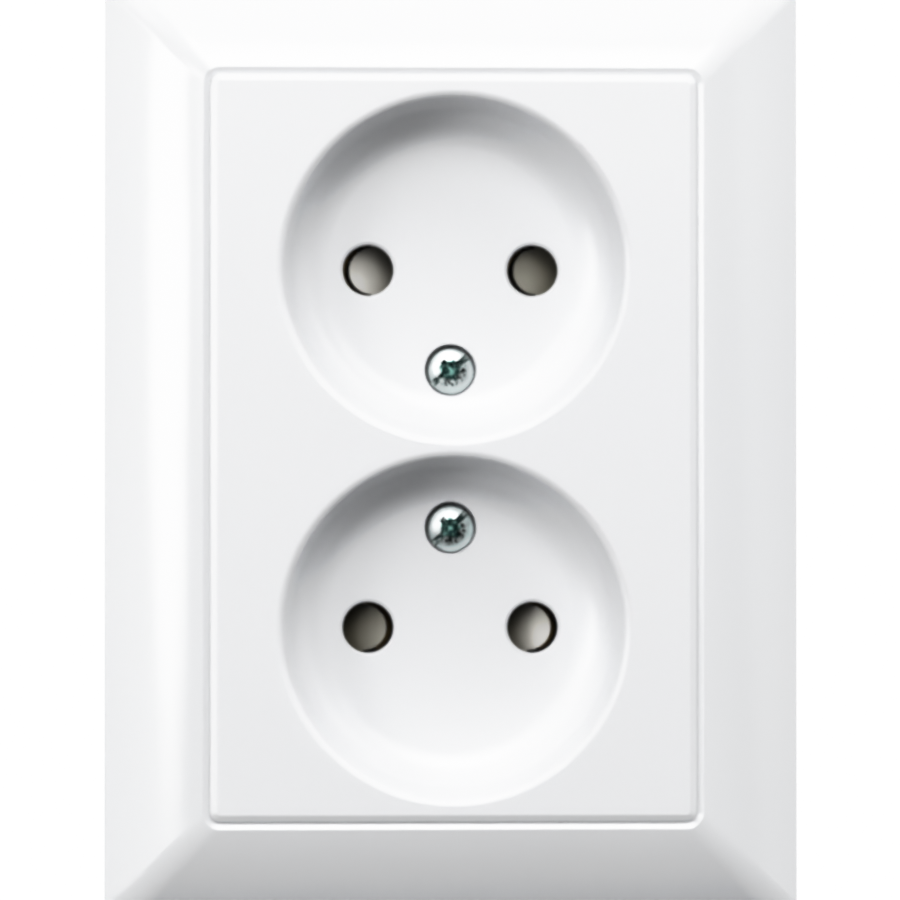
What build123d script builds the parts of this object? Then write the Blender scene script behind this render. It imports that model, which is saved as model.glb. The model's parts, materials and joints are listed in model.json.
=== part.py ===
"""Double wall socket without earth contacts, for one 60 mm flush box.

The frame of reference: +Z up, +X to the right and -Y out into the room. The wall is the plane
y = 0, and the origin is midway between the two box screws. Levels are distances from the wall,
towards the room where positive and into the flush box where negative.
"""

import os
from math import atan2, cos, degrees, hypot, radians, sin, tan

from build123d import *

os.makedirs("parts", exist_ok=True)

# Driving dimensions, in millimetres and degrees
clearance = 0.2  # between pieces that slide or are laid in
press_gap = 0.05  # between pieces that are pushed home

# Cover frame
frame_width = 80.0
frame_height = 110.0
frame_corner = 2.6
frame_side = 6.95
frame_wall = 1.8
slope_rise = 6.1
slope_crown = 0.108
rim_corner = 1.8
rim_edge = 0.7
rim_edge_drop = 0.5
ledge_width = 1.5
ledge_thickness = 1.5
skirt_wall = 1.4
skirt_seat = 7.6

# Centre plate with its two cups
plate_width = 55.6
plate_height = 85.4
plate_corner = 1.2
plate_wall = 1.8
plate_edge = 0.8
plate_edge_drop = 0.4
plate_proud = 0.25
plate_gap = 0.05  # between the plate and the frame's opening
plate_end = 2.5  # between a cup and the end of the plate
cup_gap = 2.0
pin_pitch = 19.0
pin_hole = 5.9
pin_hole_chamfer = 0.3
cup_depth = 8.6
cup_draft = 11.0
cup_corner = 4.4
cup_lip = 0.9
cup_wall = 1.4
rib_thickness = 1.2

# Cover screws and the brass inserts that take them
screw_offset = 9.1
screw_thread = 3.0
screw_length = 16.0
screw_head = 5.5
screw_head_edge = 0.9
screw_head_dome = 0.7
screw_seat = 6.0
screw_seat_depth = 2.2
screw_boss = 8.4
screw_boss_floor = 0.9
recess_width = 0.75
recess_cross = 2.9
recess_core = 1.9
recess_depth = 0.85
upper_slot_angle = 38.0
lower_slot_angle = 43.0
insert_diameter = 4.8
insert_length = 8.0
insert_depth = 3.0

# Shutters and their leaf springs
shutter_pad = 5.3
shutter_pad_offset = 0.5
shutter_travel = 6.0
shutter_ramp = 24.0
shutter_rail = 1.5
shutter_rail_gap = 6.4
shutter_rail_height = 1.3
shutter_spring_width = 1.6
shutter_spring_thickness = 0.3
shutter_spring_depth = 5.0
spring_post = 1.6

# Contact cover and rear housing
insert_width = 42.0
insert_rim = 0.6  # outside the outer guide ribs
cover_thickness = 1.6
guide_rib = 0.9
guide_rib_height = 1.6
housing_depth = 22.0
housing_floor = 2.0
housing_edge = 1.0
ear_length = 22.0
ear_width = 5.4
ear_thickness = 4.0
ear_corner = 1.5

# Contacts
contact_pin = 4.9
contact_sheet = 0.6
contact_start = 0.6
contact_length = 12.0
contact_slit = 50.0
web_thickness = 0.8
web_start = 2.0
web_lap = 0.6  # below the tips of the terminal springs
clip_sheet = 0.4
clip_width = 4.0
clip_start = 2.0
clip_mouth = 70.0
contact_pocket = 8.4
contact_pocket_spare = 0.3

# Screwless terminals
chamber_width = 9.6
chamber_height = 17.0
wire_hole = 3.4
wire_funnel = 0.5
wire_side = 2.4
wire_pitch = 10.4
clamp_sheet = 0.4
clamp_width = 4.6
clamp_bend = 0.8
clamp_reach = 7.4
button_width = 1.8
button_bar = 14.0
button_stem = 4.4
button_flange = 1.6
button_proud = 2.0
button_side = 4.6

# Support plate and its rivets
support_room = 2.7  # between the plate and the inside of the frame
support_corner = 5.0
support_thickness = 1.2
support_window_corner = 3.0
box_screw_pitch = 60.0
box_slot_length = 7.5
box_slot_width = 3.8
rivet_pitch = 15.0
rivet_shank = 3.0
rivet_head = 4.6
rivet_head_height = 0.8

# Levels and places that follow from the driving dimensions
rim_level = frame_side + slope_rise
plate_front = rim_level + plate_proud
plate_back = plate_front - plate_wall
cup_floor = plate_front - cup_depth
cup_back = cup_floor - cup_wall
cup_mouth = (plate_height - cup_gap) / 2 - plate_end
cup_base = cup_mouth / 2 - cup_depth * tan(radians(cup_draft))
socket_pitch = cup_mouth + cup_gap
seat_level = cup_floor - screw_seat_depth
boss_bottom = seat_level - screw_boss_floor
insert_top = -insert_depth
contact_top = -cover_thickness - contact_start
chamber_floor = housing_floor - housing_depth
clamp_bottom = chamber_floor + clearance + clamp_sheet / 2
web_top = contact_top - web_start
web_bottom = clamp_bottom + clamp_reach - web_lap
rail_centre = (shutter_rail_gap + shutter_rail) / 2
guide_centre = rail_centre + shutter_rail / 2 + clearance + guide_rib / 2
guide_end = socket_pitch / 2 + guide_centre + guide_rib / 2
insert_height = 2 * (guide_end + insert_rim)
insert_round = 2 * (hypot(pin_pitch / 2, guide_end) + insert_rim)
window_width = insert_width - 2 * clearance
support_size = frame_width - 2 * (frame_wall + support_room)
socket_centres = {"upper": socket_pitch / 2, "lower": -socket_pitch / 2}
pole_centres = {"left": -pin_pitch / 2, "right": pin_pitch / 2}


def level(height):
    """The plane at a distance from the wall, with X to the right and Y up."""
    return Plane.XZ.offset(height)


def section(x, z):
    """The plane across the socket at a point, with X to the right and Y towards the room."""
    return Plane(origin=(x, 0, z), x_dir=(1, 0, 0), z_dir=(0, 0, -1))


def room_axis(x, z):
    """The line through a point that runs out into the room."""
    return Axis((x, 0, z), (0, -1, 0))


def round_rims(builder, diameter):
    """The circular edges of one diameter."""
    circles = builder.edges().filter_by(GeomType.CIRCLE)
    return circles.filter_by(lambda rim: abs(2 * rim.radius - diameter) < press_gap)


def write(piece, name):
    """Labels a finished piece and writes its file."""
    piece.label = name
    export_step(piece, f"parts/{name}.step")


# Cover frame: a hollow moulding with a crowned slope all round and a ledge for the plate
opening_width = plate_width + 2 * plate_gap
opening_height = plate_height + 2 * plate_gap
opening_corner = plate_corner + plate_gap
skirt_width = opening_width + 2 * skirt_wall
skirt_height = opening_height + 2 * skirt_wall
slope_x = (frame_width - opening_width) / 2
slope_z = (frame_height - opening_height) / 2

with BuildPart() as frame_hollow:
    for inset_x, inset_z, height in (
        (frame_wall, frame_wall, 0),
        (frame_wall, frame_wall, frame_side - frame_wall / 2),
        (slope_x - skirt_wall, slope_z - skirt_wall, rim_level - rim_edge_drop - frame_wall),
    ):
        with BuildSketch(level(height)):
            RectangleRounded(frame_width - 2 * inset_x, frame_height - 2 * inset_z, frame_corner)
    loft(ruled=True)
    with BuildSketch(level(0)):
        RectangleRounded(skirt_width, skirt_height, opening_corner + skirt_wall)
    extrude(amount=rim_level, mode=Mode.SUBTRACT)

with BuildPart() as cover_frame:
    with BuildSketch(level(0)):
        RectangleRounded(frame_width, frame_height, frame_corner)
    extrude(amount=frame_side)
    for step in (0, 1 / 3, 2 / 3, 1):
        rise = slope_rise * (step + 4 * slope_crown * step * (1 - step))
        corner = frame_corner + (rim_corner - frame_corner) * step
        with BuildSketch(level(frame_side + rise)):
            RectangleRounded(
                frame_width - 2 * slope_x * step, frame_height - 2 * slope_z * step, corner
            )
    loft()
    add(frame_hollow.part, mode=Mode.SUBTRACT)
    with BuildSketch(level(0)):
        RectangleRounded(skirt_width, skirt_height, opening_corner + skirt_wall)
    extrude(amount=skirt_seat - ledge_thickness, mode=Mode.SUBTRACT)
    with BuildSketch(level(0)):
        Rectangle(opening_width - 2 * ledge_width, opening_height - 2 * ledge_width)
    extrude(amount=skirt_seat, mode=Mode.SUBTRACT)
    with BuildSketch(level(skirt_seat)):
        RectangleRounded(opening_width, opening_height, opening_corner)
    extrude(amount=rim_level, mode=Mode.SUBTRACT)
    for flare in (0, 2 * rim_edge):
        with BuildSketch(level(rim_level - rim_edge_drop + flare * rim_edge_drop / rim_edge / 2)):
            RectangleRounded(
                opening_width + 2 * flare, opening_height + 2 * flare, opening_corner + flare
            )
    loft(ruled=True, mode=Mode.SUBTRACT)

write(cover_frame.part, "cover_frame")

# Centre plate: a shallow lid whose two cups hang from its face
with BuildPart() as centre_plate:
    with BuildSketch(level(skirt_seat)):
        RectangleRounded(plate_width, plate_height, plate_corner)
    extrude(amount=plate_front - skirt_seat)
    front = centre_plate.faces().sort_by(Axis.Y)[0]
    chamfer(front.edges(), plate_edge, plate_edge_drop, reference=front)
    with BuildSketch(level(skirt_seat)):
        Rectangle(plate_width - 2 * skirt_wall, plate_height - 2 * skirt_wall)
    extrude(amount=plate_back - skirt_seat, mode=Mode.SUBTRACT)
    with BuildSketch(level(skirt_seat)):
        with GridLocations(pin_pitch, 0, 2, 1):
            Rectangle(rib_thickness, plate_height - skirt_wall)
        Rectangle(plate_width - skirt_wall, rib_thickness)
    extrude(amount=plate_back - skirt_seat)
    for centre in socket_centres.values():
        with BuildSketch(section(0, centre)) as cup_shell:
            with BuildLine():
                Polyline(
                    (0, cup_back),
                    (cup_base + cup_wall, cup_back),
                    (cup_mouth / 2 + cup_wall, plate_back),
                    (0, plate_back),
                    close=True,
                )
            make_face()
            chamfer(cup_shell.vertices().group_by(Axis.Y)[0].sort_by(Axis.X)[-1], cup_corner / 2)
        revolve(axis=room_axis(0, centre))
    with BuildSketch(level(boss_bottom)):
        with GridLocations(0, 2 * screw_offset, 1, 2):
            Circle(screw_boss / 2)
    extrude(amount=cup_floor - boss_bottom)
    for centre in socket_centres.values():
        with BuildSketch(section(0, centre)) as cup_hollow:
            with BuildLine():
                Polyline(
                    (0, cup_floor),
                    (cup_base, cup_floor),
                    (cup_mouth / 2, plate_front),
                    (cup_mouth / 2 + 2 * cup_lip, plate_front),
                    (cup_mouth / 2 + 2 * cup_lip, plate_front + plate_wall),
                    (0, plate_front + plate_wall),
                    close=True,
                )
            make_face()
            fillet(cup_hollow.vertices().group_by(Axis.Y)[0].sort_by(Axis.X)[-1], cup_corner)
            fillet(cup_hollow.vertices().group_by(Axis.Y)[-2].sort_by(Axis.X)[0], cup_lip)
        revolve(axis=room_axis(0, centre), mode=Mode.SUBTRACT)
    with BuildSketch(level(boss_bottom)):
        with GridLocations(pin_pitch, socket_pitch, 2, 2):
            Circle(pin_hole / 2)
        with GridLocations(0, 2 * screw_offset, 1, 2):
            Circle(screw_thread / 2 + clearance)
    extrude(amount=cup_floor - boss_bottom, mode=Mode.SUBTRACT)
    with BuildSketch(level(seat_level)):
        with GridLocations(0, 2 * screw_offset, 1, 2):
            Circle(screw_seat / 2)
    extrude(amount=screw_seat_depth + cup_corner, mode=Mode.SUBTRACT)
    chamfer(round_rims(centre_plate, pin_hole).group_by(Axis.Y)[0], pin_hole_chamfer)

write(centre_plate.part, "centre_plate")

# Cover screws: domed heads with a cross recess and one long slot
with BuildPart() as cover_screws:
    for place, angle in ((screw_offset, upper_slot_angle), (-screw_offset, lower_slot_angle)):
        head_rim = seat_level + screw_head_edge
        head_top = head_rim + screw_head_dome
        head_radius = (screw_head**2 / 4 + screw_head_dome**2) / (2 * screw_head_dome)
        with BuildSketch(section(0, place)):
            with BuildLine():
                Line((0, seat_level - screw_length), (screw_thread / 2, seat_level - screw_length))
                Line((screw_thread / 2, seat_level - screw_length), (screw_thread / 2, seat_level))
                Line((screw_thread / 2, seat_level), (screw_head / 2, seat_level))
                Line((screw_head / 2, seat_level), (screw_head / 2, head_rim))
                RadiusArc((screw_head / 2, head_rim), (0, head_top), -head_radius)
                Line((0, head_top), (0, seat_level - screw_length))
            make_face()
        revolve(axis=room_axis(0, place))
        with BuildSketch(level(head_top - recess_depth)):
            with Locations((0, place)):
                Rectangle(screw_seat, recess_width, rotation=angle)
                Rectangle(recess_width, recess_cross, rotation=angle)
                Circle(recess_core / 2)
        extrude(amount=recess_depth, mode=Mode.SUBTRACT)

write(cover_screws.part, "cover_screws")

# Screw inserts: threaded brass bushes in the rear housing
with BuildPart() as screw_inserts:
    with BuildSketch(level(insert_top - insert_length)):
        with GridLocations(0, 2 * screw_offset, 1, 2):
            Circle(insert_diameter / 2)
            Circle(screw_thread / 2 + press_gap, mode=Mode.SUBTRACT)
    extrude(amount=insert_length)

write(screw_inserts.part, "screw_inserts")

# Shutters: each slides sideways when both of its slanted pads are pushed in together
shutter_bottom = clearance
shutter_top = cup_back - clearance
post_face = -shutter_pad / 2
pad_face = pin_pitch / 2 + shutter_pad_offset - shutter_pad / 2

for name, turn in (("upper", 1), ("lower", -1)):
    centre = socket_centres[name]
    pads = [turn * (side * pin_pitch / 2 + shutter_pad_offset) for side in (-1, 1)]
    with BuildPart() as shutter:
        with BuildSketch(level(shutter_bottom)):
            for pad in pads:
                with Locations((pad, centre)):
                    Circle(shutter_pad / 2)
                with Locations((pad + turn * shutter_pad / 4, centre)):
                    Rectangle(shutter_pad / 2, shutter_rail_gap)
        extrude(amount=shutter_top - shutter_bottom)
        for pad in pads:
            high = pad - turn * shutter_pad / 2
            low = pad + turn * shutter_pad / 2
            drop = shutter_pad * tan(radians(shutter_ramp))
            with BuildSketch(section(0, centre)):
                with BuildLine():
                    Polyline(
                        (high, shutter_top),
                        (low, shutter_top - drop),
                        (low, shutter_top),
                        close=True,
                    )
                make_face()
            extrude(amount=shutter_rail_gap, both=True, mode=Mode.SUBTRACT)
        with BuildSketch(level(shutter_bottom)):
            with Locations((sum(pads) / 2, centre)):
                with GridLocations(0, 2 * rail_centre, 1, 2):
                    SlotOverall(pin_pitch + shutter_pad, shutter_rail)
        extrude(amount=shutter_rail_height)
        with BuildSketch(level(shutter_bottom)):
            for pad in pads:
                with Locations((pad + turn * shutter_pad / 4, centre)):
                    with GridLocations(0, shutter_rail_gap, 1, 2):
                        Rectangle(shutter_pad / 2, shutter_rail / 2)
        extrude(amount=shutter_rail_height)
    write(shutter.part, f"{name}_shutter")

    with BuildPart() as shutter_spring:
        with BuildSketch(level(shutter_bottom + clearance)):
            with BuildLine() as leaf:
                FilletPolyline(
                    (turn * (post_face + clearance), centre + turn * shutter_spring_depth / 2),
                    (turn * (post_face + pad_face) / 2, centre - turn * shutter_spring_depth / 2),
                    (turn * (pad_face - clearance), centre + turn * shutter_spring_depth / 2),
                    radius=shutter_spring_thickness * 2,
                )
                offset(amount=shutter_spring_thickness / 2, side=Side.BOTH)
            make_face()
        extrude(amount=shutter_spring_width)
    write(shutter_spring.part, f"{name}_shutter_spring")

# Contact cover: the dark lid that holds the contacts in and guides the shutters
with BuildPart() as contact_cover:
    with BuildSketch(level(-cover_thickness)):
        Rectangle(insert_width, insert_height)
        Circle(insert_round / 2, mode=Mode.INTERSECT)
    extrude(amount=cover_thickness)
    with BuildSketch(level(0)):
        with GridLocations(0, 2 * screw_offset, 1, 2):
            Circle(screw_boss / 2)
    extrude(amount=boss_bottom - clearance)
    for turn, centre in ((1, socket_centres["upper"]), (-1, socket_centres["lower"])):
        with BuildSketch(level(0)):
            with Locations((0, centre - turn * guide_centre)):
                Rectangle(pin_pitch + 2 * shutter_travel, guide_rib)
            with Locations((0, centre + turn * guide_centre)):
                Rectangle(pin_pitch, guide_rib)
        extrude(amount=guide_rib_height)
        with BuildSketch(level(0)):
            with Locations((turn * (post_face - spring_post / 2), centre)):
                Rectangle(spring_post, shutter_spring_depth)
        extrude(amount=shutter_rail_height + shutter_spring_width / 2)
    with BuildSketch(level(-cover_thickness)):
        with GridLocations(pin_pitch, socket_pitch, 2, 2):
            Circle(pin_hole / 2)
        with GridLocations(0, 2 * screw_offset, 1, 2):
            Circle(screw_thread / 2 + clearance)
    extrude(amount=cover_thickness + boss_bottom, mode=Mode.SUBTRACT)

write(contact_cover.part, "contact_cover")

# Rear housing: a deep box with pockets for contacts and terminals, and ears for the support plate
chamber_inner = pin_pitch / 2 - web_thickness / 2 - clearance
chamber_centre = chamber_inner + chamber_width / 2
wire_centre = pin_pitch / 2 + wire_side
button_centre = pin_pitch / 2 + button_side
ear_centre = insert_width / 2 + clearance + ear_width / 2
pocket_floor = contact_top - contact_length - contact_pocket_spare

with BuildPart() as rear_housing:
    with BuildSketch(level(-housing_depth)):
        Rectangle(insert_width, insert_height)
        Circle(insert_round / 2, mode=Mode.INTERSECT)
    extrude(amount=housing_depth - cover_thickness)
    chamfer(rear_housing.faces().sort_by(Axis.Y)[-1].edges(), housing_edge)
    with BuildSketch(level(-ear_thickness - cover_thickness)):
        RectangleRounded(2 * ear_centre + ear_width, ear_length, ear_corner)
    extrude(amount=ear_thickness)
    with BuildSketch(level(-cover_thickness)):
        with GridLocations(2 * ear_centre, 0, 2, 1):
            RectangleRounded(ear_width, ear_length, ear_corner)
    extrude(amount=cover_thickness)
    with BuildSketch(level(pocket_floor)):
        with GridLocations(pin_pitch, socket_pitch, 2, 2):
            Circle(contact_pocket / 2)
    extrude(amount=-cover_thickness - pocket_floor, mode=Mode.SUBTRACT)
    with BuildSketch(level(web_bottom - clearance)):
        with GridLocations(pin_pitch, 0, 2, 1):
            Rectangle(web_thickness + 2 * clearance, socket_pitch)
    extrude(amount=housing_depth, mode=Mode.SUBTRACT)
    with BuildSketch(level(chamber_floor)):
        with GridLocations(2 * chamber_centre, 0, 2, 1):
            Rectangle(chamber_width, chamber_height)
    extrude(amount=-cover_thickness - chamber_floor, mode=Mode.SUBTRACT)
    with BuildSketch(level(insert_top - insert_length)):
        with GridLocations(0, 2 * screw_offset, 1, 2):
            Circle(insert_diameter / 2 + press_gap)
    extrude(amount=insert_length + insert_depth, mode=Mode.SUBTRACT)
    with BuildSketch(level(seat_level - screw_length - clearance)):
        with GridLocations(0, 2 * screw_offset, 1, 2):
            Circle(screw_thread / 2 + clearance)
    extrude(amount=screw_length, mode=Mode.SUBTRACT)
    with BuildSketch(level(-housing_depth)):
        with GridLocations(2 * wire_centre, wire_pitch, 2, 2):
            Circle(wire_hole / 2)
        with GridLocations(2 * button_centre, 0, 2, 1):
            Rectangle(button_width + 2 * clearance, button_stem + 2 * clearance)
    extrude(amount=housing_floor, mode=Mode.SUBTRACT)
    chamfer(round_rims(rear_housing, wire_hole).group_by(Axis.Y)[-1], wire_funnel)
    with BuildSketch(level(-ear_thickness - cover_thickness)):
        with GridLocations(2 * ear_centre, rivet_pitch, 2, 2):
            Circle(rivet_shank / 2 + press_gap)
    extrude(amount=ear_thickness + cover_thickness, mode=Mode.SUBTRACT)

write(rear_housing.part, "rear_housing")

# Contact strips: a brass web that ends in a split sleeve for a pin of each socket
sleeve_inner = contact_pin / 2
sleeve_outer = sleeve_inner + contact_sheet
slit_reach = 2 * sleeve_outer

for side, pole in pole_centres.items():
    with BuildPart() as strip:
        with BuildSketch(level(contact_top - contact_length)):
            for turn in (1, -1):
                slit_side = slit_reach * sin(radians(contact_slit / 2))
                slit_end = slit_reach * cos(radians(contact_slit / 2))
                with Locations((pole, turn * socket_pitch / 2)):
                    Circle(sleeve_outer)
                    Circle(sleeve_inner, mode=Mode.SUBTRACT)
                    Polygon(
                        (0, 0),
                        (slit_side, turn * slit_end),
                        (-slit_side, turn * slit_end),
                        align=None,
                        mode=Mode.SUBTRACT,
                    )
        extrude(amount=contact_length)
        with BuildSketch(level(web_bottom)):
            with Locations((pole, 0)):
                Rectangle(web_thickness, socket_pitch - 2 * sleeve_inner - contact_sheet)
        extrude(amount=web_top - web_bottom)
    write(strip.part, f"{side}_contact_strip")

# Contact springs: steel clips that press each split sleeve onto its pin
clip_inner = sleeve_outer + press_gap
clip_outer = clip_inner + clip_sheet

for name, turn in (("upper", 1), ("lower", -1)):
    for side, pole in pole_centres.items():
        with BuildPart() as clip:
            with BuildSketch(level(contact_top - clip_start - clip_width)):
                mouth_side = 2 * clip_outer * sin(radians(clip_mouth / 2))
                mouth_end = 2 * clip_outer * cos(radians(clip_mouth / 2))
                with Locations((pole, socket_centres[name])):
                    Circle(clip_outer)
                    Circle(clip_inner, mode=Mode.SUBTRACT)
                    Polygon(
                        (0, 0),
                        (mouth_side, -turn * mouth_end),
                        (-mouth_side, -turn * mouth_end),
                        align=None,
                        mode=Mode.SUBTRACT,
                    )
            extrude(amount=clip_width)
        write(clip.part, f"{name}_{side}_contact_spring")

# Terminal springs: bent leaves that pinch a bared wire against the web of the contact strip
clamp_wall = chamber_inner + chamber_width - clearance - clamp_sheet / 2
clamp_tip = pin_pitch / 2 + web_thickness / 2 + clearance + clamp_sheet

for name, turn in (("upper", 1), ("lower", -1)):
    for side, hand in (("left", -1), ("right", 1)):
        with BuildPart() as clamp:
            with BuildSketch(section(0, turn * wire_pitch / 2)):
                with BuildLine():
                    FilletPolyline(
                        (hand * clamp_wall, clamp_bottom + 1.5 * clamp_reach),
                        (hand * clamp_wall, clamp_bottom),
                        (hand * (clamp_wall - 2 * clamp_bend), clamp_bottom),
                        (hand * clamp_tip, clamp_bottom + clamp_reach),
                        radius=clamp_bend * 0.6,
                    )
                    offset(amount=clamp_sheet / 2, side=Side.BOTH)
                make_face()
            extrude(amount=clamp_width / 2, both=True)
        write(clamp.part, f"{name}_{side}_terminal_spring")

# Release buttons: pressed in from behind, each one opens both terminals of its pole
for side, hand in (("left", -1), ("right", 1)):
    with BuildPart() as button:
        with BuildSketch(level(chamber_floor)):
            with Locations((hand * button_centre, 0)):
                RectangleRounded(button_width, button_bar, button_width / 4)
        extrude(amount=button_flange)
        with BuildSketch(level(-housing_depth - button_proud)):
            with Locations((hand * button_centre, 0)):
                RectangleRounded(button_width, button_stem, button_width / 4)
        extrude(amount=button_proud + housing_floor)
    write(button.part, f"{side}_release_button")

# Support plate: a pressed steel plate with slotted holes for the two screws of a flush box
with BuildPart() as support_plate:
    with BuildSketch(level(0)):
        RectangleRounded(support_size, support_size, support_corner)
        RectangleRounded(
            window_width, insert_height + 2 * clearance, support_window_corner, mode=Mode.SUBTRACT
        )
        with GridLocations(box_screw_pitch, 0, 2, 1):
            SlotOverall(box_slot_length, box_slot_width, mode=Mode.SUBTRACT)
        with GridLocations(2 * ear_centre, rivet_pitch, 2, 2):
            Circle(rivet_shank / 2 + press_gap, mode=Mode.SUBTRACT)
    extrude(amount=support_thickness)

write(support_plate.part, "support_plate")

# Support rivets: they hold the support plate to the ears of the rear housing
rivet_back = -ear_thickness - cover_thickness

with BuildPart() as support_rivets:
    with BuildSketch(level(rivet_back)):
        with GridLocations(2 * ear_centre, rivet_pitch, 2, 2):
            Circle(rivet_shank / 2)
    extrude(amount=support_thickness - rivet_back)
    for start in (rivet_back - rivet_head_height, support_thickness):
        with BuildSketch(level(start)):
            with GridLocations(2 * ear_centre, rivet_pitch, 2, 2):
                Circle(rivet_head / 2)
        extrude(amount=rivet_head_height)

write(support_rivets.part, "support_rivets")
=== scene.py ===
import json
import math

import bpy
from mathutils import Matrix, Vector


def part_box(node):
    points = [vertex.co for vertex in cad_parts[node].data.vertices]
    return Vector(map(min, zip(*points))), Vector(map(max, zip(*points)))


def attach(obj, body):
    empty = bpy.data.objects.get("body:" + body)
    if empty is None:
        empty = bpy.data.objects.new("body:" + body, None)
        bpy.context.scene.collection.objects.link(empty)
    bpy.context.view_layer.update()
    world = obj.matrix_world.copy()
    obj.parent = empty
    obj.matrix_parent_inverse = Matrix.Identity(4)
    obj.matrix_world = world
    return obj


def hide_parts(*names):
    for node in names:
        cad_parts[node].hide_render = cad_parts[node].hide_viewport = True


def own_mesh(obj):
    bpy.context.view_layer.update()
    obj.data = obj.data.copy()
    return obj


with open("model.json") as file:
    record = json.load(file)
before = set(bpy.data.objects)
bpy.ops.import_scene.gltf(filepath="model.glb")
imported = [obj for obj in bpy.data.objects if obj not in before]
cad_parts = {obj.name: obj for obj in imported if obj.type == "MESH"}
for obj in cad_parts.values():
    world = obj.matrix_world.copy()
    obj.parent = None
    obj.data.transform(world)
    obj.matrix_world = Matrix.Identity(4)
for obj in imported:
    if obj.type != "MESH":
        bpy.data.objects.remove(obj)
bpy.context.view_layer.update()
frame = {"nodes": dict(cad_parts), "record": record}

MM = 0.001
nodes = frame["nodes"]


def middle(node):
    low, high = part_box(node)
    return (low + high) / 2


# Places of the pin holes: off the middle of a socket, and of a socket off the middle of the plate
PIN_PLACE = middle("upper_right_contact_spring").x
SOCKET_PLACE = middle("upper_shutter").z

# Camera: the photograph's place, a long lens from slightly left and slightly below
CAMERA_DISTANCE = 750 * MM
CAMERA_AZIMUTH = -2.7
CAMERA_ELEVATION = -0.8
PIXELS_PER_MM = 8.658
IMAGE_SIZE = 900
SENSOR = 36.0
AIM = Vector((-0.02 * MM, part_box("cover_screws")[0].y, -0.12 * MM))

# Lamps: soft discs round the object, each with its elevation, azimuth, width in metres and power
LAMP_DISTANCE = 1.2
LAMPS = {
    "top": (65, -15, 0.8, 2.3),
    "key": (35, 0, 0.6, 4.5),
    "key_low": (26, 5, 0.8, 4.7),
    "left_narrow": (4, -49, 0.3, 1.65),
    "left_wide": (3, -58, 0.7, 2.9),
    "left_front": (8, -30, 0.35, 1.5),
    "left_high": (36, -46, 0.5, 1.1),
    "right_side": (15, 75, 1.0, 2.6),
    "right_high": (45, 75, 1.0, 6.0),
    "back_left": (35, -150, 1.0, 7.0),
    "back_right": (30, 140, 1.0, 5.0),
}
SURROUNDINGS = 0.14
GROUND = 3.0

# Tones: how far the shadows are pulled down, where the highlights start to roll off, the brightest light
# that the curve takes, the points along it, and a filter as soft as the photograph, in pixels
TOE = 0.75
KNEE = 0.85
WHITEST = 2.0
CURVE_STEPS = 40
COMBINED_CURVE = 3
SOFTNESS = 3.8

# Sockets of the Mix node for colours, which share their names with those for other kinds
MIX_FACTOR, MIX_FIRST, MIX_SECOND, MIX_RESULT = 0, 6, 7, 2

# Stains, and painted shade and painted highlights on the screws and shutter pads
WORN = (0.02, 0.035, 0.035)
CORE_PAINTED_SHADE = (0.03, 0.08, 0.075)
CORE_PAINTED_HIGHLIGHT = (0.36, 0.56, 0.52)
RECESS_PAINTED_SHADE = (0.02, 0.05, 0.047)
RIM_PAINTED_SHADE = (0.2, 0.21, 0.21)
DIM_PAD_PAINTED_SHADE = (0.38, 0.37, 0.33)
PAD_SIDE_PAINTED_SHADE = (0.105, 0.092, 0.058)
PAD_SHADE = (0.07, 0.06, 0.036)


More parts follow.
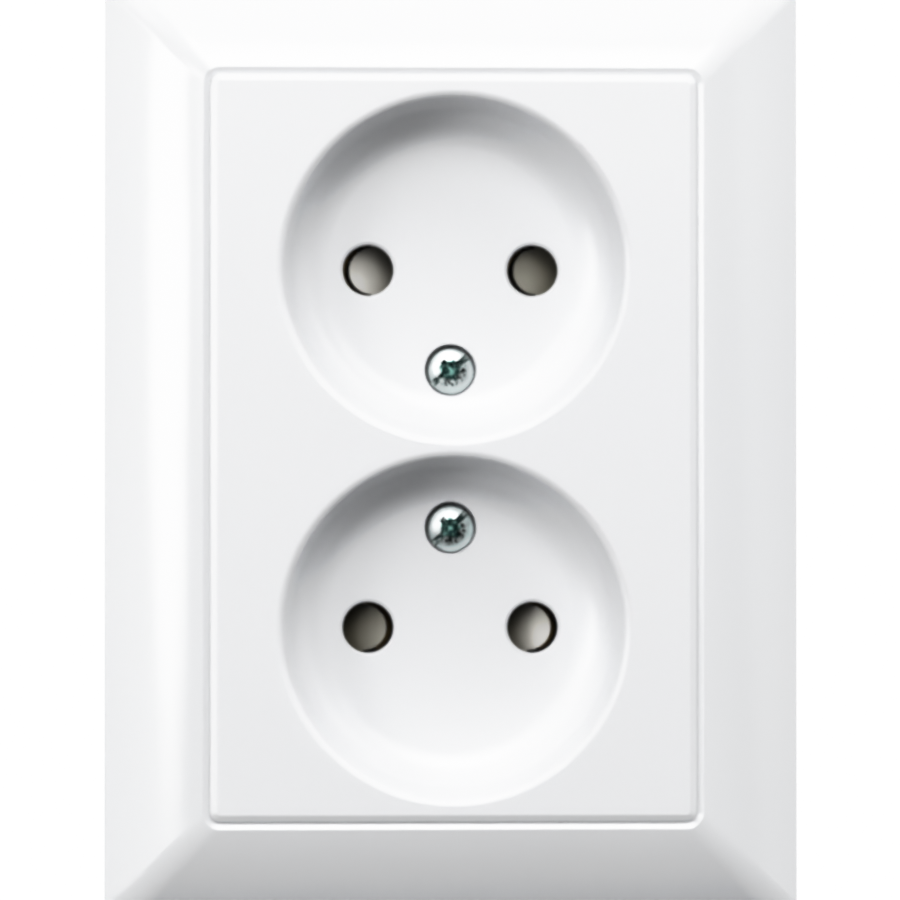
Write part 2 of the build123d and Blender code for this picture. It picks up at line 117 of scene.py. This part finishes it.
class Shader:
    """A node material with a Principled shader and a few helpers to feed its sockets."""

    def __init__(self, name, colour, roughness, metallic=0.0):
        self.material = bpy.data.materials.new(name)
        self.material.use_nodes = True
        self.tree = self.material.node_tree
        self.bsdf = self.tree.nodes["Principled BSDF"]
        self.bsdf.inputs["Base Color"].default_value = (*colour, 1.0)
        self.bsdf.inputs["Roughness"].default_value = roughness
        self.bsdf.inputs["Metallic"].default_value = metallic
        self.place = self.add("ShaderNodeTexCoord").outputs["Object"]

    def add(self, kind, **settings):
        node = self.tree.nodes.new(kind)
        for key, value in settings.items():
            setattr(node, key, value)
        return node

    def link(self, source, target):
        self.tree.links.new(source, target)

    def noise(self, feature, detail=3.0, vector=None):
        """Noise whose lumps are about the given length in metres."""
        node = self.add("ShaderNodeTexNoise")
        node.inputs["Scale"].default_value = 1.0 / feature
        node.inputs["Detail"].default_value = detail
        self.link(vector or self.place, node.inputs["Vector"])
        return node.outputs["Fac"]

    def math(self, operation, first, second=None):
        """The result of an operation on values, each a socket or a number."""
        node = self.add("ShaderNodeMath", operation=operation)
        for value, target in zip((first, second), node.inputs):
            if isinstance(value, (int, float)):
                target.default_value = value
            elif value is not None:
                self.link(value, target)
        return node.outputs[0]

    def ramp(self, value, start, end, low=0.0, high=1.0):
        """Goes softly from low to high as the value goes from start to end."""
        node = self.add("ShaderNodeMapRange", interpolation_type="SMOOTHSTEP")
        for name, number in (("From Min", start), ("From Max", end), ("To Min", low), ("To Max", high)):
            node.inputs[name].default_value = number
        self.link(value, node.inputs["Value"])
        return node.outputs["Result"]

    def spread(self, value, low, high):
        """Maps the middle of a noise softly to a range."""
        return self.ramp(value, 0.2, 0.8, low, high)

    def split(self):
        """The x, y and z of the place on the object."""
        node = self.add("ShaderNodeSeparateXYZ")
        self.link(self.place, node.inputs["Vector"])
        return node.outputs

    def blend(self, factor, first, second):
        """A colour between two, each a socket or a plain colour, set by a factor."""
        node = self.add("ShaderNodeMix", data_type="RGBA")
        for colour, target in ((first, node.inputs[MIX_FIRST]), (second, node.inputs[MIX_SECOND])):
            if isinstance(colour, tuple):
                target.default_value = (*colour, 1.0)
            else:
                self.link(colour, target)
        self.link(factor, node.inputs[MIX_FACTOR])
        return node.outputs[MIX_RESULT]

    def stain_or_painted_light(self, factor, colour):
        """Lays a colour over the base colour where the factor is 1: real wear, or painted shade or highlight.
        """
        base = self.bsdf.inputs["Base Color"]
        below = base.links[0].from_socket if base.is_linked else tuple(base.default_value[:3])
        self.link(self.blend(factor, below, colour), base)

    def vary_colour(self, value, first, second):
        self.link(self.blend(self.spread(value, 0.0, 1.0), first, second), self.bsdf.inputs["Base Color"])

    def vary_roughness(self, value, low, high):
        self.link(self.spread(value, low, high), self.bsdf.inputs["Roughness"])

    def bump(self, height, depth, strength=1.0):
        """Relief of a depth in metres, laid over any relief made before."""
        node = self.add("ShaderNodeBump")
        node.inputs["Strength"].default_value = strength
        node.inputs["Distance"].default_value = depth
        self.link(height, node.inputs["Height"])
        normal = self.bsdf.inputs["Normal"]
        if normal.is_linked:
            self.link(normal.links[0].from_socket, node.inputs["Normal"])
        self.link(node.outputs["Normal"], normal)


def white_plastic(name, colour, roughness):
    """Gloss white moulding: a faint orange peel and slow changes of gloss."""
    shader = Shader(name, colour, roughness)
    shader.bsdf.inputs["IOR"].default_value = 1.5
    shader.bsdf.inputs["Subsurface Weight"].default_value = 0.06
    shader.bsdf.inputs["Subsurface Radius"].default_value = (1.0, 0.95, 0.9)
    shader.bsdf.inputs["Subsurface Scale"].default_value = 0.6 * MM
    cooler = (colour[0] * 0.994, colour[1] * 0.996, colour[2])
    shader.vary_colour(shader.noise(25 * MM, 1.0), colour, cooler)
    shader.vary_roughness(shader.noise(20 * MM, 1.0), roughness * 0.95, roughness * 1.05)
    shader.bump(shader.noise(0.9 * MM, 2.0), 0.0012 * MM)
    return shader.material


def zinc(name, colour, tint, roughness):
    """Zinc plated steel: cloudy gloss and a tinted passivation."""
    shader = Shader(name, colour, roughness, 1.0)
    shader.vary_colour(shader.noise(1.6 * MM, 4.0), colour, tint)
    shader.vary_roughness(shader.noise(0.5 * MM, 4.0), roughness * 0.75, roughness * 1.35)
    shader.bump(shader.noise(0.15 * MM, 3.0), 0.003 * MM)
    return shader


def screw_zinc():
    """Zinc on the screws: turned rings, worn specks, a greenish core with lighter glints painted in as the
    shade and highlights of the cross recess, painted shade in the recess, and a ring of painted shade round
    the head.
    """
    shader = zinc("zinc_screw", (0.86, 0.9, 0.895), (0.78, 0.85, 0.84), 0.42)
    low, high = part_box("cover_screws")
    head_radius = (high.x - low.x) / 2
    x, _, z = shader.split()
    side = shader.math("MULTIPLY", shader.math("SIGN", z), high.z - head_radius)
    height = shader.math("SUBTRACT", z, side)
    centred = shader.add("ShaderNodeCombineXYZ")
    shader.link(x, centred.inputs["X"])
    shader.link(height, centred.inputs["Y"])
    rings = shader.add("ShaderNodeTexWave", wave_type="RINGS", rings_direction="SPHERICAL")
    rings.inputs["Scale"].default_value = 0.3 / (0.16 * MM)
    rings.inputs["Distortion"].default_value = 0.6
    shader.link(centred.outputs["Vector"], rings.inputs["Vector"])
    shader.bump(rings.outputs["Fac"], 0.001 * MM)

    radius = shader.add("ShaderNodeVectorMath", operation="LENGTH")
    shader.link(centred.outputs["Vector"], radius.inputs[0])
    radius = radius.outputs["Value"]
    band = shader.math(
        "MULTIPLY",
        shader.ramp(radius, 0.34 * head_radius, 0.44 * head_radius),
        shader.ramp(radius, 0.74 * head_radius, 0.62 * head_radius),
    )
    lean = shader.ramp(shader.math("SUBTRACT", x, height), -0.2 * head_radius, 0.5 * head_radius)
    specks = shader.ramp(shader.noise(0.42 * MM, 2.0), 0.5, 0.56)
    worn = shader.math("MULTIPLY", specks, shader.math("MULTIPLY", band, lean))
    shader.stain_or_painted_light(worn, WORN)

    shade = shader.add("ShaderNodeAmbientOcclusion", samples=12, only_local=True)
    shade.inputs["Distance"].default_value = 0.9 * MM
    # Painted shade and painted highlights: the core of the cross recess painted dark teal, with lighter teal
    # glints.
    patches = shader.ramp(shader.noise(0.45 * MM, 2.0), 0.42, 0.62)
    core_shade_and_glints = shader.blend(patches, CORE_PAINTED_SHADE, CORE_PAINTED_HIGHLIGHT)
    waver = shader.spread(shader.noise(0.6 * MM, 2.0), -0.1 * head_radius, 0.1 * head_radius)
    ragged = shader.math("ADD", radius, waver)
    shader.stain_or_painted_light(shader.ramp(ragged, 0.46 * head_radius, 0.38 * head_radius), core_shade_and_glints)
    # Painted shade: dark teal painted where the cross recess is deep and hemmed in, broken up by noise.
    shade_breakup = shader.ramp(shader.noise(0.5 * MM, 2.0), 0.36, 0.5, 0.25, 1.0)
    deep = shader.ramp(shade.outputs["AO"], 0.97, 0.6)
    shader.stain_or_painted_light(shader.math("MULTIPLY", deep, shade_breakup), RECESS_PAINTED_SHADE)

    # Painted shade: a grey ring round the edge of the head, thicker at the top left, where the gap round the
    # head lies in shade.
    offset = shader.add("ShaderNodeVectorMath", operation="ADD")
    offset.inputs[1].default_value = (-0.035 * head_radius, 0.045 * head_radius, 0.0)
    shader.link(centred.outputs["Vector"], offset.inputs[0])
    reach = shader.add("ShaderNodeVectorMath", operation="LENGTH")
    shader.link(offset.outputs["Vector"], reach.inputs[0])
    shader.stain_or_painted_light(shader.ramp(reach.outputs["Value"], 0.88 * head_radius, 1.03 * head_radius), RIM_PAINTED_SHADE)
    return shader.material


def moulding(name, colour, shade, roughness, grain):
    """Matt technical moulding with a fine spark-eroded grain."""
    shader = Shader(name, colour, roughness)
    shader.vary_colour(shader.noise(4 * MM, 4.0), colour, shade)
    shader.vary_roughness(shader.noise(1.2 * MM), roughness * 0.85, roughness * 1.15)
    shader.bump(shader.noise(grain, 3.0), 0.012 * MM)
    return shader


def moulded(*look):
    return moulding(*look).material


def sheet_metal(name, colour, tint, roughness):
    """Rolled sheet: fine streaks along the strip and a slow change of tint."""
    shader = Shader(name, colour, roughness, 1.0)
    stretched = shader.add("ShaderNodeMapping")
    stretched.inputs["Scale"].default_value = (1.0, 1.0, 0.06)
    shader.link(shader.place, stretched.inputs["Vector"])
    streaks = shader.noise(0.12 * MM, 3.0, stretched.outputs["Vector"])
    shader.vary_colour(shader.noise(3 * MM, 4.0), colour, tint)
    shader.vary_roughness(streaks, roughness * 0.8, roughness * 1.3)
    shader.bump(streaks, 0.002 * MM)
    return shader.material


def shutter_plastic():
    """Grey sliders with painted shade: one pad of each painted darker, and both painted darker sideways and
    upwards, the lower one more.
    """
    shader = moulding("shutter_plastic", (0.70, 0.69, 0.66), (0.64, 0.63, 0.6), 0.34, 0.15 * MM)
    x, _, z = shader.split()
    side = shader.math("MULTIPLY", x, shader.math("SIGN", z))
    # Painted shade: one pad of each slider painted darker.
    shader.stain_or_painted_light(shader.ramp(side, -2 * MM, 2 * MM), DIM_PAD_PAINTED_SHADE)
    # Painted shade: each pad painted darker towards one side, the lower slider more.
    pin = shader.math("MULTIPLY", shader.math("SIGN", side), PIN_PLACE)
    across = shader.math("SUBTRACT", side, pin)
    deepest = shader.ramp(z, 1 * MM, -1 * MM, 0.62, 0.84)
    sideways = shader.ramp(across, -1.0 * MM, 3.2 * MM)
    shader.stain_or_painted_light(shader.math("MULTIPLY", sideways, deepest), PAD_SIDE_PAINTED_SHADE)
    # Painted shade: the pads painted darker towards the top of each socket, where the edge of the hole shades
    # them.
    socket = shader.math("MULTIPLY", shader.math("SIGN", z), SOCKET_PLACE)
    above = shader.math("SUBTRACT", z, socket)
    shader.stain_or_painted_light(shader.ramp(above, -1.5 * MM, 2.8 * MM, 0.0, 0.52), PAD_SHADE)
    # Painted shade: the lower slider painted darker all over.
    shader.stain_or_painted_light(shader.ramp(z, 1 * MM, -1 * MM, 0.0, 0.25), PAD_SHADE)
    return shader.material


def make_materials():
    return {
        "white_frame": white_plastic("white_frame", (0.783, 0.788, 0.796), 0.14),
        "white_plate": white_plastic("white_plate", (0.781, 0.7845, 0.793), 0.3),
        "zinc_screw": screw_zinc(),
        "insert_brass": sheet_metal("insert_brass", (0.83, 0.66, 0.33), (0.72, 0.54, 0.24), 0.3),
        "shutter_plastic": shutter_plastic(),
        "spring_steel": sheet_metal("spring_steel", (0.62, 0.62, 0.61), (0.5, 0.5, 0.5), 0.28),
        "dark_plastic": moulded(
            "dark_plastic", (0.022, 0.021, 0.018), (0.03, 0.028, 0.025), 0.6, 0.2 * MM),
        "housing_plastic": moulded(
            "housing_plastic", (0.62, 0.62, 0.6), (0.56, 0.56, 0.545), 0.5, 0.25 * MM),
        "contact_brass": sheet_metal("contact_brass", (0.4, 0.3, 0.14), (0.3, 0.22, 0.1), 0.4),
        "button_plastic": moulded(
            "button_plastic", (0.8, 0.2, 0.03), (0.72, 0.17, 0.03), 0.4, 0.2 * MM),
        "zinc_plate": zinc("zinc_plate", (0.74, 0.76, 0.76), (0.6, 0.63, 0.64), 0.34).material,
        "zinc_rivet": zinc("zinc_rivet", (0.7, 0.71, 0.71), (0.58, 0.6, 0.6), 0.3).material,
    }


def dress_nodes(materials):
    """Gives every node the material of its slot."""
    for part in frame["record"]["subparts"]:
        mesh = nodes[part["node"]].data
        mesh.materials.clear()
        mesh.materials.append(materials[part["material_slot"]])


def flexing_copy(node, material):
    """A copy of a spring's leaf, with its own mesh and material, hung on the socket's body in place of the
    part.
    """
    piece = bpy.data.objects.new(node + "_leaf", nodes[node].data.copy())
    bpy.context.scene.collection.objects.link(piece)
    piece.data.materials.clear()
    piece.data.materials.append(material)
    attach(piece, "socket")
    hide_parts(node)
    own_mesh(piece)


def make_springs(material):
    for name, turn in (("upper", 1), ("lower", -1)):
        flexing_copy(f"{name}_shutter_spring", material)
        for side in ("left", "right"):
            node = f"{name}_{side}_terminal_spring"
            flexing_copy(node, material)


def direction(elevation, azimuth):
    """The unit vector towards a place round the object, with azimuth 0 straight in front."""
    rise, turn = math.radians(elevation), math.radians(azimuth)
    return Vector((math.sin(turn) * math.cos(rise), -math.cos(turn) * math.cos(rise), math.sin(rise)))


def make_lamps():
    for name, (elevation, azimuth, width, power) in LAMPS.items():
        light = bpy.data.lights.new(name, "AREA")
        light.shape = "DISK"
        light.size = width
        light.energy = power
        lamp = bpy.data.objects.new(name, light)
        towards = direction(elevation, azimuth)
        lamp.location = towards * LAMP_DISTANCE
        lamp.rotation_mode = "QUATERNION"
        lamp.rotation_quaternion = (-towards).to_track_quat("-Z", "Y")
        bpy.context.scene.collection.objects.link(lamp)


def make_world():
    """Dim surroundings that light the object, behind it a white ground that the camera sees."""
    world = bpy.data.worlds.new("studio")
    bpy.context.scene.world = world
    world.use_nodes = True
    tree = world.node_tree
    tree.nodes.clear()
    dim = tree.nodes.new("ShaderNodeBackground")
    dim.inputs["Strength"].default_value = SURROUNDINGS
    ground = tree.nodes.new("ShaderNodeBackground")
    ground.inputs["Color"].default_value = (1.0, 1.0, 1.0, 1.0)
    ground.inputs["Strength"].default_value = GROUND
    seen = tree.nodes.new("ShaderNodeLightPath")
    mix = tree.nodes.new("ShaderNodeMixShader")
    out = tree.nodes.new("ShaderNodeOutputWorld")
    tree.links.new(seen.outputs["Is Camera Ray"], mix.inputs["Fac"])
    tree.links.new(dim.outputs["Background"], mix.inputs[1])
    tree.links.new(ground.outputs["Background"], mix.inputs[2])
    tree.links.new(mix.outputs["Shader"], out.inputs["Surface"])


def make_camera():
    data = bpy.data.cameras.new("camera")
    data.sensor_width = SENSOR
    data.lens = PIXELS_PER_MM / MM * CAMERA_DISTANCE / IMAGE_SIZE * SENSOR
    camera = bpy.data.objects.new("camera", data)
    back = direction(CAMERA_ELEVATION, CAMERA_AZIMUTH)
    camera.location = AIM + back * CAMERA_DISTANCE
    camera.rotation_mode = "QUATERNION"
    camera.rotation_quaternion = (-back).to_track_quat("-Z", "Y")
    bpy.context.scene.collection.objects.link(camera)
    bpy.context.scene.camera = camera


def tone(light):
    """A photograph's contrast: darker shadows, and highlights that roll off."""
    if light < 0.5:
        return light - TOE * light * (1 - 2 * light)
    if light < KNEE:
        return light
    return 1 - (1 - KNEE) * math.exp((KNEE - light) / (1 - KNEE))


def set_tones():
    view = bpy.context.scene.view_settings
    view.view_transform = "Standard"
    view.use_curve_mapping = True
    mapping = view.curve_mapping
    mapping.white_level = (WHITEST, WHITEST, WHITEST)
    curve = mapping.curves[COMBINED_CURVE]
    for step in range(1, CURVE_STEPS):
        curve.points.new(step / CURVE_STEPS, tone(WHITEST * step / CURVE_STEPS))
    mapping.update()


set_tones()
bpy.context.scene.cycles.filter_width = SOFTNESS
materials = make_materials()
dress_nodes(materials)
make_springs(materials["spring_steel"])
make_world()
make_lamps()
make_camera()
